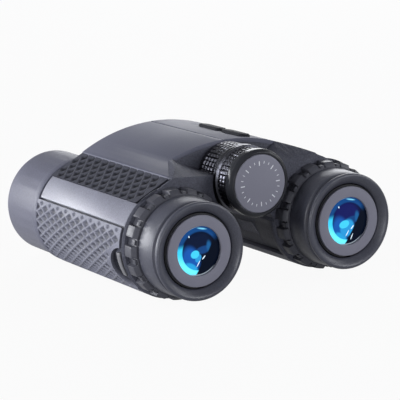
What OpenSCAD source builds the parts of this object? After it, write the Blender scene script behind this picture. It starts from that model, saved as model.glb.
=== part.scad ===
// Roof-prism binoculars, 8 x 32 class: two barrels that fold about one hinge,
// central focusing, twist-up eyecups, dioptre ring and two press buttons.
// +X is the user's right, +Y the way the objectives look, +Z up.
// The origin is the middle of the footprint, on the surface the barrels lie on.

/* [Overall] */
// Distance between the two barrel axes
barrel_spacing = 66; // [65:0.5:68]
// Length from the eyecup rims to the objective rims
overall_length = 119.2; // [117:0.2:124]
// Radius over the armour of one barrel
armour_r = 21.5; // [21.3:0.1:21.8]

/* [Hinge and focusing] */
// Height of the hinge and knob axis above the barrel axes
hinge_height = 18.5; // [18.2:0.1:18.8]
// Radius of the hinge knuckles
knuckle_r = 10.5; // [10.2:0.1:10.6]
// Radius of the knurled focusing drum
drum_r = 12.8; // [12.2:0.1:13]
// Number of flutes on each band of the focusing knob
knob_flutes = 44; // [36:2:60]
// How far the focusing lenses travel each way from the middle
focus_travel = 2.5; // [1:0.1:2.5]

/* [Bridge] */
// Radius of the arched top cover
arch_r = 69.1; // [68:0.1:71]
// Height of the crest above the barrel axes
crest_height = 31.85; // [31.7:0.05:32.2]
// Wall of the top cover
cover_t = 1.6; // [1.4:0.1:1.8]

/* [Eyepieces] */
// Radius of the rubber eyecup lip
lip_r = 18.5; // [18:0.1:18.8]
// Radius of the exposed eye lens
eye_lens_r = 9.24; // [8.8:0.02:9.6]
// How far an eyecup twists out
eyecup_travel = 6.5; // [4:0.5:7]
// Number of large blocks round a castellated collar
collar_blocks = 17; // [12:1:18]

/* [Objectives] */
// Radius of the objective tube
tube_r = 20.7; // [20.4:0.1:20.9]
// Radius of the clear objective aperture
objective_r = 16; // [15:0.1:16]

/* [Grips] */
// Length of one cell of the side grips' net, along the barrel
side_cell_l = 6.8; // [6.6:0.1:7.6]
// Length of one cell of the top grips' net, along the barrel
top_cell_l = 5.65; // [5.5:0.05:6.5]
// Depth of the pits between the ridges of the net
pit_depth = 0.5; // [0.4:0.05:0.6]

/* [Hidden] */
$fn = 96;

eps = 0.01;
big = 200;
half_spacing = barrel_spacing / 2;
hinge = [0, hinge_height];
arch_centre = [0, crest_height - arch_r];

// stations along the barrels, measured forward from the eyecup rims
cup_base_y = 13.2;
collar_y = [13.5, 19.8];
rear_y = 20;
rim_front_y = 20.9;
panel_y = 22.7;
rim_y = 23.2;
recess_y = 35;
shell_y = 36.5;
knuckle_split_y = 64;
bridge_y = 91;
tube_step_y = 95;

// radii inside one barrel
bore_r = 18;
core_r = armour_r - 1.7;
spigot_r = bore_r;
running = 0.05;
gap = 0.3;

// flat shoulder that the top grip covers, tilted about the barrel axis
shoulder_angle = 115.1;
shoulder_dist = armour_r - 0.5;
grip_t = 1.4;
grip_outer = [-46.4, 16.9];
grip_inner = [-32.1, 23.6];
// nets of the grips, each as [across, along] the barrel: cell, half size of a pit, first centre
side_cell = [3.65, side_cell_l];
side_pit = [1.66, 1.75];
side_start = [3.08, 22.5];
top_cell = [5.9, top_cell_l];
top_pit = [1.9, 2];
top_start = [1.95, 23.34];
pit_lift = 0.03;
pits_end_angle = 292;
rail_angles = [128.8, 155.2];
side_angles = [157.2, 316];
skin_angles = [87.8, side_angles[1]];

// inward-facing flank under the bridge
flank_low = [-17.7, -13];
flank_high = [-12, 1];
web_low = [-5.5, 9.6];

// recess that lets the fingers reach the knob
pocket_r = 14.6;
hub_r = 11.4;

// hinge parts
sleeve_r = [7.8, 9];
spindle_r = 2.9;
arm_angle = atan2(hinge_height, half_spacing);
arm_w = 8;
arm_t = 2.6;
fold_range = 25;
left_arm_y = 69;
right_arm_y = 58.5;
cell_y = [57, 71];

// eyepiece parts
collar_root_r = 19.3;
collar_tip_r = 20.9;
ocular_r = 14;
boss_r = 17;
cell_r = 12.2;
keyway_w = 2.6;
eye_lens_y = [2.1, 6.2];
eye_edge_r = 10.3;
cup_inner_r = 16.4;

// strap lug at the rear outer corner of each barrel
lug_angle = 202;
lug_pocket_r = 8.9;
lug_bar_angles = [183, 209];
lug_bar_y = [23, 25.5];
lug_floor_r = 19;

// optics inside the barrels
lens_y = [107, 112.5];
seat_r = bore_r - 2.2;
cement_r = 75;
front_lens_r = 62;
focus_lens_r = 13;
holder_y = [27, 54];
prism_w = 17.6;
prism_front_y = 52.5;
prism_cut = 13.4;
pupil = 9.2;

// focusing drive
nut_y = [54, 73];
nut_groove_r = 5.3;
bush_l = 5;
bush_y = [36, 79];
sleeve_y = recess_y - 0.6;
knob_front_y = recess_y - 1;
knob_core_r = 11;
band_r = 12.5;
flute_w = 0.9;
peg_pitch = 2.1;
socket_r = 3.175;
socket_length = 5.8;

// buttons on the right half of the crest
button_x = 12.2;
button_w = 5;
button_y = [[37.6, 53.8], [54.9, 71.1]];
button_proud = 1;
button_tilt = asin(button_x / arch_r);
flange_w = 0.7;
bay_w = button_w + 2 * (flange_w + gap);
bay_y = [37, 72];
bay_depth = cover_t + 3.4;
board_t = 0.8;
key_w = 3.6;

// colours of the materials
casting = [0.16, 0.16, 0.18];
armour = [0.2, 0.2, 0.22];
paint = [0.27, 0.27, 0.3];
black = [0.07, 0.07, 0.08];
rubber = [0.12, 0.12, 0.13];
metal = [0.3, 0.3, 0.33];
steel = [0.62, 0.63, 0.66];
brass = [0.78, 0.62, 0.3];
plate = [0.36, 0.36, 0.4];
board = [0.1, 0.35, 0.2];
glass = [0.3, 0.6, 0.9, 0.5];

// ---------------------------------------------------------------- frames

// from the working frame (barrel axes at z = 0, eyecup rims at y = 0) to the part's own frame
module placed() translate([0, -overall_length / 2, armour_r]) children();

// the left half is drawn; the right half is its mirror image
module on_left() placed() children();
module on_right() placed() mirror([1, 0, 0]) children();

// a flat outline in X and Z drawn out along Y from y0 to y1
module along(y0, y1) {
    translate([0, y1, 0]) rotate([90, 0, 0]) linear_extrude(y1 - y0) children();
}

// a profile of [radius, y] points turned about the left barrel axis
module turned(x = -half_spacing, z = 0) {
    translate([x, 0, z]) rotate([-90, 0, 0]) rotate_extrude() children();
}

// a profile of [radius, y] points turned about the hinge axis
module turned_on_hinge() turned(0, hinge_height) children();

module disc(r) translate([-half_spacing, 0]) circle(r);

module hinge_disc(r) translate(hinge) circle(r);

module tube_profile(r_in, r_out, y0, y1) {
    translate([r_in, y0]) square([r_out - r_in, y1 - y0]);
}

// a pie slice about the left barrel axis between two angles
module slice(a0, a1, r = 40) {
    steps = ceil((a1 - a0) / 30);
    arc = [for (i = [0 : steps]) r * [cos(a0 + (a1 - a0) * i / steps), sin(a0 + (a1 - a0) * i / steps)]];
    translate([-half_spacing, 0]) polygon(concat([[0, 0]], arc));
}

function on_plane(angle, dist) = [-half_spacing + dist * cos(angle), dist * sin(angle)];

// --------------------------------------------------------- body outlines

module under_arch(r) {
    intersection() {
        translate(arch_centre) circle(r, $fn = 180);
        children();
    }
}

// the solid section below the skins: barrel, shoulder and wing
module core_outline(inner_x = -6) {
    disc(core_r);
    under_arch(arch_r - cover_t) polygon([
        [-half_spacing, 0],
        on_plane(shoulder_angle, shoulder_dist - grip_t),
        [grip_inner[0] + 0.6, grip_inner[1] - grip_t + 0.1],
        [grip_inner[0] + 0.6, 40],
        [inner_x, 40],
        web_low,
        flank_high,
        flank_low
    ]);
}

// the section over the skins
module full_outline(inner_x = -6) {
    disc(armour_r);
    under_arch(arch_r) polygon([
        [-half_spacing, 0],
        grip_outer,
        grip_inner,
        [grip_inner[0], 40],
        [inner_x, 40],
        web_low,
        flank_high,
        flank_low
    ]);
}

// plan of one half of the top cover, seen from above
module cover_plan() {
    polygon([
        [-gap / 2, recess_y - 0.2],
        [-24.6, recess_y - 0.2],
        [-31.3, rim_y],
        [grip_inner[0], rim_y],
        [grip_inner[0], bridge_y],
        [-gap / 2, bridge_y]
    ]);
}

// everything above the scooped ramp that runs from the rear face up to the cover's rear edge;
// the ramp is ruled between a shallow line at the rear face and a steep one at the rear wall
function ramp_z(x, t) = (1 - t) * (24 - 0.09 * (x + 30.6)) + t * (27.6 - 0.56 * (x + 22.8));

module above_ramp() {
    n = 24;
    x0 = -37;
    x1 = 1;
    y0 = rear_y - 1;
    t0 = -1 / (recess_y - rear_y);
    xs = [for (i = [0 : n]) x0 + (x1 - x0) * i / n];
    rear = [for (x = xs) [x, y0, ramp_z(x, t0)]];
    wall = [for (x = xs) [x, recess_y, ramp_z(x, 1)]];
    top = [[x0, y0, 60], [x1, y0, 60], [x1, recess_y, 60], [x0, recess_y, 60]];
    m = n + 1;
    t = 2 * m;
    strips = [for (i = [0 : n - 1]) each [
        [i, i + 1, m + i], [i + 1, m + i + 1, m + i],
        [i + 1, i, t], [m + i, m + i + 1, t + 3]
    ]];
    polyhedron(concat(rear, wall, top), concat(strips, [
        [n, t, t + 1], [m + n, t + 2, t + 3],
        [0, m, t + 3, t], [n, t + 1, t + 2, m + n],
        [t, t + 3, t + 2, t + 1]
    ]));
}

// -------------------------------------------------------- barrel castings

// slot for one focusing arm, from the hinge out into the barrel bore
module arm_slot(y_mid, w = arm_w + 2 * gap) {
    reach = focus_travel + arm_t / 2 + gap;
    translate([0, y_mid - reach, hinge_height]) rotate([0, -arm_angle, 0])
        translate([-30, 0, -w / 2]) cube([30 - 4, 2 * reach, w]);
}

module housing(own, other, arm_y) {
    difference() {
        union() {
            along(shell_y, bridge_y) core_outline();
            along(own[0], own[1]) hinge_disc(knuckle_r);
        }
        along(shell_y - 1, bridge_y + 1) disc(bore_r);
        along(other[0] - gap / 2, other[1] + gap / 2) hinge_disc(knuckle_r + gap);
        arm_slot(arm_y);
    }
}

module left_housing() color(casting) on_left() difference() {
    housing([knuckle_split_y + gap / 2, bridge_y], [shell_y, knuckle_split_y], left_arm_y);
    along(shell_y - 1, bridge_y + 1) hinge_disc(sleeve_r[1]);
}

module right_housing() color(casting) on_right() difference() {
    housing([shell_y, knuckle_split_y - gap / 2], [knuckle_split_y, bridge_y + 1], right_arm_y);
    along(shell_y - 1, bridge_y + 1) hinge_disc(sleeve_r[1] + running);
    button_bay();
}

// the zone that the grips and the rail cover
module skin_zone() {
    difference() {
        slice(skin_angles[0], skin_angles[1]);
        core_outline();
    }
}

// bevel round the rear rim: a cone round the barrel and a flat along the shoulder
module rim_bevel() {
    bevel = 0.8;
    intersection() {
        turned() polygon([
            [armour_r - bevel, rear_y], [armour_r - bevel, rear_y - 1], [armour_r + 1, rear_y - 1],
            [armour_r + 1, rear_y + bevel + 1]
        ]);
        along(rear_y - 2, rear_y + 3) slice(128.4, 360);
    }
    translate([grip_outer[0], rear_y, grip_outer[1]]) rotate([0, 90 - shoulder_angle, 0])
        rotate([45, 0, 0]) cube([18, bevel * sqrt(2), bevel * sqrt(2)], center = true);
}

module rear_shell() {
    difference() {
        union() {
            along(rear_y, rim_front_y) full_outline();
            along(rim_front_y - eps, rim_y) difference() {
                full_outline();
                skin_zone();
            }
            along(rim_y - eps, shell_y) core_outline();
            along(recess_y, shell_y) under_arch(arch_r - cover_t)
                polygon([[-20, 20], [-20, 40], [-gap / 2, 40], [-gap / 2, 20]]);
            intersection() {
                along(rim_y - eps, recess_y - 0.2) full_outline();
                difference() {
                    translate([-31.3, rim_y - eps, 0]) cube([31, recess_y - rim_y, 60]);
                    linear_extrude(60) cover_plan();
                }
            }
        }
        along(rear_y - 1, shell_y + 1) disc(bore_r);
        along(rear_y - 1, recess_y) hinge_disc(pocket_r);
        along(recess_y - 1, shell_y + 1) hinge_disc(hub_r);
        above_ramp();
        rim_bevel();
        lug_pocket();
    }
}

module left_rear_shell() color(armour) on_left() rear_shell();
module right_rear_shell() color(armour) on_right() rear_shell();

module top_cover() {
    intersection() {
        difference() {
            along(rim_y, bridge_y) translate(arch_centre) circle(arch_r, $fn = 180);
            along(rim_y - 1, bridge_y + 1) translate(arch_centre) circle(arch_r - cover_t, $fn = 180);
        }
        linear_extrude(60) cover_plan();
    }
}

module left_top_cover() color(paint) on_left() top_cover();
module right_top_cover() color(paint) on_right() with_button_windows() top_cover();

// the cover with two pill-shaped windows for the buttons, written in the left half's sense
module with_button_windows() {
    difference() {
        children();
        mirror([1, 0, 0]) for (y = button_y) at_button(y[0] - gap)
            translate([0, 0, -cover_t - 1]) linear_extrude(4)
                pill(button_w + 2 * gap, y[1] - y[0] + 2 * gap);
    }
}

// ------------------------------------------------------------ armour skins

// a point at s mm across the skin, y along the barrel and h above the skin
function on_side(s, y, h) = let (a = side_angles[0] + s / armour_r * 180 / PI)
    [-half_spacing + (armour_r + h) * cos(a), y, (armour_r + h) * sin(a)];

function on_shoulder(s, y, h) = let (a = shoulder_angle)
    [grip_inner[0] - s * sin(a) + h * cos(a), y, grip_inner[1] + s * cos(a) + h * sin(a)];

// centres of the pits between y0 and y1: staggered rows, half a cell apart
function staggered(rows, start, cell, y0, y1) = [
    for (i = [0 : rows - 1]) for (j = [0 : 15])
        let (s = start[0] + i * cell[0] / 2, y = start[1] + (j + (i % 2) / 2) * cell[1])
            if (y > y0 && y < y1) [s, y]
];

// leaf-shaped pits as one closed cutter: each has six corners just over the skin,
// one point at its depth and one point clear above
module pit_cutter(centres, half, place) {
    grow = 1 + pit_lift / pit_depth;
    l = half[0] * grow;
    w = half[1] * grow;
    corners = [[l, 0], [l / 3, w], [-l / 3, w], [-l, 0], [-l / 3, -w], [l / 3, -w]];
    points = [for (c = centres) each concat(
        [for (k = corners) place(c[0] + k[0], c[1] + k[1], pit_lift)],
        [place(c[0], c[1], -pit_depth), place(c[0], c[1], 1)]
    )];
    faces = [for (i = [0 : len(centres) - 1]) for (k = [0 : 5])
        let (a = 8 * i + k, b = 8 * i + (k + 1) % 6) each [[b, a, 8 * i + 6], [a, b, 8 * i + 7]]];
    polyhedron(points, faces);
}

module top_grip() {
    centres = staggered(5, top_start, top_cell, panel_y + top_pit[1] + 0.4, bridge_y - top_pit[1] - 0.4);
    difference() {
        along(panel_y, bridge_y - 0.2) difference() {
            polygon([[-half_spacing, 0], grip_outer, grip_inner]);
            core_outline();
        }
        pit_cutter(centres, top_pit, function (s, y, h) on_shoulder(s, y, h));
    }
}

module left_top_grip() color(rubber) on_left() top_grip();
module right_top_grip() color(rubber) on_right() top_grip();

module side_rail() {
    along(rim_front_y + 0.1, bridge_y - 1.6) intersection() {
        difference() {
            disc(armour_r + 0.1);
            core_outline();
        }
        slice(rail_angles[0] + 0.2, rail_angles[1]);
    }
}

module left_side_rail() color(paint) on_left() side_rail();
module right_side_rail() color(paint) on_right() side_rail();

module side_grip() {
    per_degree = armour_r * PI / 180;
    rows = floor(2 * ((pits_end_angle - side_angles[0]) * per_degree - side_start[0]) / side_cell[0]);
    lug = [(lug_angle - side_angles[0]) * per_degree, panel_y];
    clear = lug_pocket_r + 2.8;
    all = staggered(rows, side_start, side_cell, panel_y + side_pit[1] + 0.5, bridge_y);
    difference() {
        along(panel_y, bridge_y) intersection() {
            difference() {
                disc(armour_r);
                core_outline();
            }
            slice(side_angles[0], side_angles[1]);
        }
        lug_pocket();
        pit_cutter([for (c = all) if (norm(c - lug) > clear) c], side_pit,
            function (s, y, h) on_side(s, y, h));
    }
}

module left_side_grip() color(armour) on_left() side_grip();
module right_side_grip() color(armour) on_right() side_grip();

// D-shaped pocket at the rear outer corner of the barrel, where the strap loops round its bar
module lug_pocket() {
    back = panel_y - rim_front_y;
    translate([-half_spacing, panel_y, 0]) rotate([0, 90 - lug_angle, 0])
        translate([0, 0, lug_floor_r]) linear_extrude(5) intersection() {
            circle(lug_pocket_r);
            translate([-lug_pocket_r - 1, -back]) square([2 * lug_pocket_r + 2, lug_pocket_r + back + 1]);
        }
}

// bar that stands clear of the pocket floor on a foot at each end
module strap_lug() {
    a0 = lug_bar_angles[0];
    a1 = lug_bar_angles[1];
    foot = 3;
    along(lug_bar_y[0], lug_bar_y[1]) difference() {
        intersection() {
            disc(armour_r - 0.1);
            slice(a0, a1);
        }
        translate([-half_spacing, 0]) rotate(lug_angle) translate([0, -20]) square([lug_floor_r, 40]);
        intersection() {
            disc(armour_r - 1.2);
            slice(a0 + foot, a1 - foot);
        }
    }
}

module left_strap_lug() color(metal) on_left() strap_lug();
module right_strap_lug() color(metal) on_right() strap_lug();

// -------------------------------------------------------------- objectives

module objective_tube() {
    rim = overall_length;
    turned() polygon([
        [seat_r, bridge_y - 7], [spigot_r, bridge_y - 7], [spigot_r, bridge_y],
        [armour_r - 0.1, bridge_y], [armour_r - 0.1, tube_step_y], [tube_r, tube_step_y + 0.8],
        [tube_r, rim - 1.2], [tube_r - 0.5, rim], [objective_r + 2.2, rim], [objective_r + 1, rim - 1.2],
        [objective_r + 1, lens_y[0]], [seat_r, lens_y[0]]
    ]);
}

module left_objective_tube() color(armour) on_left() objective_tube();
module right_objective_tube() color(armour) on_right() objective_tube();

// cemented pair: a biconvex crown in front of a plano-concave flint
module objective_lens() {
    r = objective_r + 0.9;
    crown_y = lens_y[0] + 2;
    translate([-half_spacing, 0, 0]) {
        intersection() {
            rotate([-90, 0, 0]) translate([0, 0, crown_y]) cylinder(h = 8, r = r);
            translate([0, lens_y[1] + 0.8 - front_lens_r, 0]) sphere(front_lens_r, $fn = 180);
            translate([0, crown_y + cement_r, 0]) sphere(cement_r, $fn = 180);
        }
        difference() {
            rotate([-90, 0, 0]) translate([0, 0, lens_y[0]]) cylinder(h = 5, r = r);
            translate([0, crown_y + cement_r, 0]) sphere(cement_r, $fn = 180);
        }
    }
}

module left_objective_lens() color(glass) on_left() objective_lens();
module right_objective_lens() color(glass) on_right() objective_lens();

module objective_retainer() {
    y0 = lens_y[1] - 1.25;
    y1 = lens_y[1] + 1.6;
    turned() polygon([
        [objective_r, y0], [objective_r + 1, y0], [objective_r + 1, y1], [objective_r + 0.4, y1]
    ]);
}

module left_objective_retainer() color(metal) on_left() objective_retainer();
module right_objective_retainer() color(metal) on_right() objective_retainer();

// ----------------------------------------------------- focusing carriages

module focus_cell(arm_y) {
    turned() polygon([
        [focus_lens_r - 1, cell_y[0]], [bore_r - 0.1, cell_y[0]], [bore_r - 0.1, cell_y[1]],
        [focus_lens_r + eps, cell_y[1]], [focus_lens_r + eps, cell_y[0] + 4],
        [focus_lens_r - 1, cell_y[0] + 4]
    ]);
    // fork that reaches through the slot and straddles the nut's groove
    difference() {
        translate([0, arm_y - arm_t / 2, hinge_height]) rotate([0, -arm_angle, 0]) {
            translate([-24, 0, -arm_w / 2]) cube([24 - 5.5, arm_t, arm_w]);
        }
        turned() square([bore_r - 1, big]);
        along(arm_y - 5, arm_y + 5) hinge_disc(nut_groove_r + gap);
    }
}

module left_focus_cell() color(metal) on_left() focus_cell(left_arm_y);
module right_focus_cell() color(metal) on_right() focus_cell(right_arm_y);

// plano-concave lens against the shoulder of its cell
module focus_lens() {
    y0 = cell_y[0] + 4;
    hollow_r = 52;
    translate([-half_spacing, 0, 0]) difference() {
        rotate([-90, 0, 0]) translate([0, 0, y0]) cylinder(h = 5, r = focus_lens_r);
        translate([0, y0 + 3.6 + hollow_r, 0]) sphere(hollow_r, $fn = 180);
    }
}

module left_focus_lens() color(glass) on_left() focus_lens();
module right_focus_lens() color(glass) on_right() focus_lens();

// ------------------------------------------------------------------ prisms

// triangle that passes light through its vertical face and turns it down at 45 degrees
module half_penta_prism() {
    cut = prism_cut;
    translate([-half_spacing - prism_w / 2, prism_front_y, 0]) rotate([90, 0, 90])
        linear_extrude(prism_w) polygon([
            [0, pupil], [0, -pupil], [-(cut - pupil) / tan(22.5), -cut], [-(pupil + cut), -cut]
        ]);
}

module left_half_penta_prism() color(glass) on_left() half_penta_prism();
module right_half_penta_prism() color(glass) on_right() half_penta_prism();

// the roof prism: its two roof faces meet in a ridge along the top
module roof_prism() {
    cut = prism_cut;
    air = 0.6;
    rear = holder_y[0] + 1 - prism_front_y;
    translate([-half_spacing, prism_front_y, 0]) intersection() {
        translate([-prism_w / 2, 0, 0]) rotate([90, 0, 90]) linear_extrude(prism_w) polygon([
            [rear, -cut], [rear, pupil], [rear + (cut - pupil) / tan(22.5), cut],
            [-2, cut], [-2, pupil - 2 + air], [-(pupil + cut) - air, -cut]
        ]);
        translate([0, 0, cut]) rotate([0, 45, 0]) translate([0, -big / 2, -big]) cube(big);
    }
}

module left_roof_prism() color(glass) on_left() roof_prism();
module right_roof_prism() color(glass) on_right() roof_prism();

module prism_holder() {
    difference() {
        along(holder_y[0], holder_y[1]) disc(bore_r);
        translate([-half_spacing - prism_w / 2, holder_y[0] + 1, -prism_cut])
            cube([prism_w, big, 2 * prism_cut]);
        along(holder_y[0] - 1, holder_y[1]) disc(8.4);
        for (x = [-14, 14]) translate([x - half_spacing - 6, holder_y[0] + 6, -7]) cube([12, 14, 14]);
    }
}

module left_prism_holder() color(metal) on_left() prism_holder();
module right_prism_holder() color(metal) on_right() prism_holder();

// --------------------------------------------------------------- eyepieces

module ocular_tube() {
    difference() {
        turned() polygon([
            [eye_edge_r, eye_lens_y[0]], [ocular_r, eye_lens_y[0]],
            [ocular_r, collar_y[0]], [boss_r, collar_y[0]],
            [boss_r, rear_y], [spigot_r, rear_y], [spigot_r, 25], [cell_r + 0.35, 25],
            [cell_r + 0.35, 8.4], [9.4, 8.4], [9.4, eye_lens_y[1]], [eye_edge_r, eye_lens_y[1]]
        ]);
        // straight key way that stops the click ring turning
        translate([-half_spacing - keyway_w / 2, 1, -ocular_r - 1]) cube([keyway_w, 11.6, 1.8]);
    }
}

module left_ocular_tube() color(metal) on_left() ocular_tube();
module right_ocular_tube() color(metal) on_right() ocular_tube();

// a lens with a flat rim and a spherical bulge on one side, leaning forward for side = 1
module bulge(y, clear_r, curve_r, side) {
    sag = curve_r - sqrt(curve_r * curve_r - clear_r * clear_r);
    intersection() {
        translate([0, y + side * 2, 0]) rotate([90, 0, 0]) cylinder(h = 5, r = clear_r, center = true);
        translate([0, y + side * (sag - curve_r + 0.02), 0]) sphere(curve_r, $fn = 180);
    }
}

module eye_lens() {
    translate([-half_spacing, 0, 0]) {
        rotate([-90, 0, 0]) translate([0, 0, eye_lens_y[0]])
            cylinder(h = eye_lens_y[1] - eye_lens_y[0], r = eye_edge_r);
        bulge(eye_lens_y[0], eye_lens_r - 0.04, 45, -1);
        bulge(eye_lens_y[1], 9.2, 30, 1);
    }
}

module left_eye_lens() color(glass) on_left() eye_lens();
module right_eye_lens() color(glass) on_right() eye_lens();

module face_plate() {
    turned() polygon([
        [eye_lens_r, 1.1], [eye_lens_r + 0.2, 0.9], [13.2, 0.9], [13.4, 1.1],
        [13.4, eye_lens_y[0]], [eye_lens_r, eye_lens_y[0]]
    ]);
}

module left_face_plate() color(metal) on_left() face_plate();
module right_face_plate() color(metal) on_right() face_plate();

module field_lens(r) {
    translate([-half_spacing, 0, 0]) intersection() {
        rotate([-90, 0, 0]) translate([0, 0, 13]) cylinder(h = 5, r = r);
        translate([0, 12.6 + 40, 0]) sphere(40, $fn = 180);
        translate([0, 18.4 - 40, 0]) sphere(40, $fn = 180);
    }
}

module left_field_lens() color(glass) on_left() field_lens(cell_r + 0.35);
module right_field_lens() color(glass) on_right() field_lens(10.8);

module diopter_cell() {
    turned() polygon([
        [9.6, 10.4], [cell_r, 10.4], [cell_r, 20.6], [10.8, 20.6], [10.8, 13], [9.6, 13]
    ]);
}

module right_diopter_cell() color(metal) on_right() diopter_cell();

// spring ring that carries the eyecup; its key slides in the tube's key way
module click_ring() {
    y0 = 9;
    t = 1.8;
    key = keyway_w - 2 * gap;
    difference() {
        union() {
            turned() tube_profile(ocular_r + gap, 15.3, y0, y0 + t);
            translate([-half_spacing - key / 2, y0, -ocular_r - 0.6]) cube([key, t, 1.1]);
        }
        translate([-half_spacing - 1.4, y0 - 1, 10]) cube([2.8, t + 2, 10]);
    }
}

module left_click_ring() color(metal) on_left() click_ring();
module right_click_ring() color(metal) on_right() click_ring();

module eyecup_sleeve() {
    inner_r = ocular_r + 0.35;
    turned() polygon([
        [inner_r, 2.6], [cup_inner_r, 2.6], [cup_inner_r, 12.6], [inner_r, 12.6],
        [inner_r, 11.1], [15.6, 11.1], [15.6, 8.7], [inner_r, 8.7]
    ]);
}

module left_eyecup_sleeve() color(metal) on_left() eyecup_sleeve();
module right_eyecup_sleeve() color(metal) on_right() eyecup_sleeve();

// rubber cup: tapered body, a groove, and a full rolled lip
module eyecup_rubber() {
    lip = 1.7;
    turned() {
        difference() {
            union() {
                polygon([
                    [cup_inner_r, 1.6], [17.4, 2], [17.2, 2.9], [17.9, 3.5], [18.6, 9],
                    [18.7, cup_base_y], [cup_inner_r, cup_base_y]
                ]);
                translate([lip_r - lip, lip]) circle(lip, $fn = 48);
                translate([14.8, 1.3]) square([3.4, 1.3]);
            }
            translate([13.4, 0.1]) square([1.4, 4]);
            translate([13.4, 2.6]) square([cup_inner_r - 13.4, 4]);
        }
    }
}

module left_eyecup_rubber() color(rubber) on_left() eyecup_rubber();
module right_eyecup_rubber() color(rubber) on_right() eyecup_rubber();

// castellated ring: bevelled blocks, with a small low block in each gap towards the eyecup
module castellated_collar(clearance) {
    pitch = 360 / collar_blocks;
    first = 115;
    base_w = 4.5;
    tip_w = 4;
    small_w = 1.8;
    y0 = collar_y[0];
    y1 = collar_y[1];
    hole_r = boss_r + clearance;
    turned() polygon([
        [hole_r, y0], [collar_root_r - 0.4, y0], [collar_root_r, y0 + 0.4],
        [collar_root_r, y1], [hole_r, y1]
    ]);
    intersection() {
        turned() polygon([
            [collar_root_r - 1, y0], [collar_root_r, y0], [collar_tip_r, y0 + 1.3],
            [collar_tip_r, y1 - 0.3], [collar_tip_r - 0.3, y1], [collar_root_r - 1, y1]
        ]);
        along(y0 - 1, y1 + 1) translate([-half_spacing, 0]) for (i = [0 : collar_blocks - 1])
            rotate(first + i * pitch) polygon([
                [collar_root_r - 1, -base_w / 2], [collar_tip_r + 1, -tip_w / 2],
                [collar_tip_r + 1, tip_w / 2], [collar_root_r - 1, base_w / 2]
            ]);
    }
    intersection() {
        turned() tube_profile(collar_root_r - 1, collar_root_r + 0.8, y0 + 0.3, y0 + 2.4);
        along(y0 - 1, y1 + 1) translate([-half_spacing, 0]) for (i = [0 : collar_blocks - 1])
            rotate(first + (i + 0.5) * pitch) translate([10, -small_w / 2]) square([15, small_w]);
    }
}

module left_collar() color(black) on_left() castellated_collar(0);
module diopter_ring() color(black) on_right() castellated_collar(running);

// ---------------------------------------------------------- hinge and knob

// window for a focusing arm in the wall of the sleeve, between two angles about the hinge
module arm_window(y_mid, a0, a1) {
    reach = focus_travel + arm_t / 2 + gap;
    steps = 4;
    arc = [for (i = [0 : steps]) let (a = a0 + (a1 - a0) * i / steps) 14 * [cos(a), sin(a)]];
    along(y_mid - reach, y_mid + reach) translate(hinge) polygon(concat([[0, 0]], arc));
}

// steel tube that the two halves fold on; the right arm swings, so its window spans the whole fold
module hinge_sleeve() color(steel) on_left() {
    half = asin((arm_w / 2 + gap) / sleeve_r[0]);
    difference() {
        along(sleeve_y, bridge_y) difference() {
            hinge_disc(sleeve_r[1]);
            hinge_disc(sleeve_r[0]);
        }
        arm_window(left_arm_y, 180 + arm_angle - half, 180 + arm_angle + half);
        arm_window(right_arm_y, -arm_angle - fold_range - half, half - arm_angle);
    }
}

module hinge_lock_ring() color(steel) on_left() {
    turned_on_hinge() tube_profile(sleeve_r[1], hub_r - 0.5, sleeve_y, shell_y - 0.4);
}

module spindle_bushes() color(brass) on_left() {
    for (y = bush_y) turned_on_hinge() tube_profile(spindle_r + running, sleeve_r[0], y, y + bush_l);
}

// blind quarter-inch tripod socket in the front end of the hinge
module tripod_bush() color(brass) on_left() {
    floor_t = 0.8;
    back = bridge_y - socket_length - floor_t;
    turned_on_hinge() polygon([
        [0, back], [sleeve_r[0], back], [sleeve_r[0], bridge_y], [socket_r, bridge_y],
        [socket_r, back + floor_t], [0, back + floor_t]
    ]);
}

// screw shaft from the knob to the front bush, with a collar that stops it sliding out
module focus_spindle() color(steel) on_left() {
    turned_on_hinge() polygon([
        [0, 11.4], [spindle_r, 11.4], [spindle_r, 41.3], [4.6, 41.3], [4.6, 43], [spindle_r, 43],
        [spindle_r, 84], [0, 84]
    ]);
}

// nut with one groove for each focusing arm
module focus_nut() color(brass) on_left() {
    r = sleeve_r[0] - gap;
    g = nut_groove_r;
    w = arm_t / 2 + 0.15;
    turned_on_hinge() polygon([
        [spindle_r + running, nut_y[0]], [r, nut_y[0]],
        [r, right_arm_y - w], [g, right_arm_y - w], [g, right_arm_y + w], [r, right_arm_y + w],
        [r, left_arm_y - w], [g, left_arm_y - w], [g, left_arm_y + w], [r, left_arm_y + w],
        [r, nut_y[1]], [spindle_r + running, nut_y[1]]
    ]);
}

// flutes cut along the drum at radius r, from y0 to y1
module flutes(r, y0, y1) {
    for (i = [0 : knob_flutes - 1]) translate([0, 0, hinge_height]) rotate([0, i * 360 / knob_flutes, 0])
        translate([0, y0, r + 0.25]) rotate([0, 45, 0]) cube([flute_w, y1 - y0, flute_w]);
}

// V-grooves round the drum that cut its ribs into pegs
function peg_grooves(r, y0, y1, pitch) = [
    for (y = [y0 + pitch : pitch : y1 - pitch / 2]) each [[r, y - 0.5], [r - 0.35, y], [r, y + 0.5]]
];

module focus_knob() color(black) on_left() difference() {
    turned_on_hinge() polygon(concat(
        [[spindle_r, 11.4], [knob_core_r, 11.4], [knob_core_r, 14], [band_r, 14]],
        peg_grooves(band_r, 14, 20, 2),
        [[band_r, 20], [13.3, 20.3], [13.3, 21.3], [12.9, 21.6], [13.3, 21.9], [13.3, 22.8], [drum_r, 23]],
        peg_grooves(drum_r, 23, knob_front_y - 0.5, peg_pitch),
        [[drum_r, knob_front_y - 0.5], [drum_r - 0.6, knob_front_y], [spindle_r, knob_front_y]]
    ));
    flutes(drum_r, 23.4, knob_front_y + 0.1);
    flutes(band_r, 14.4, 19.7);
}

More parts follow.
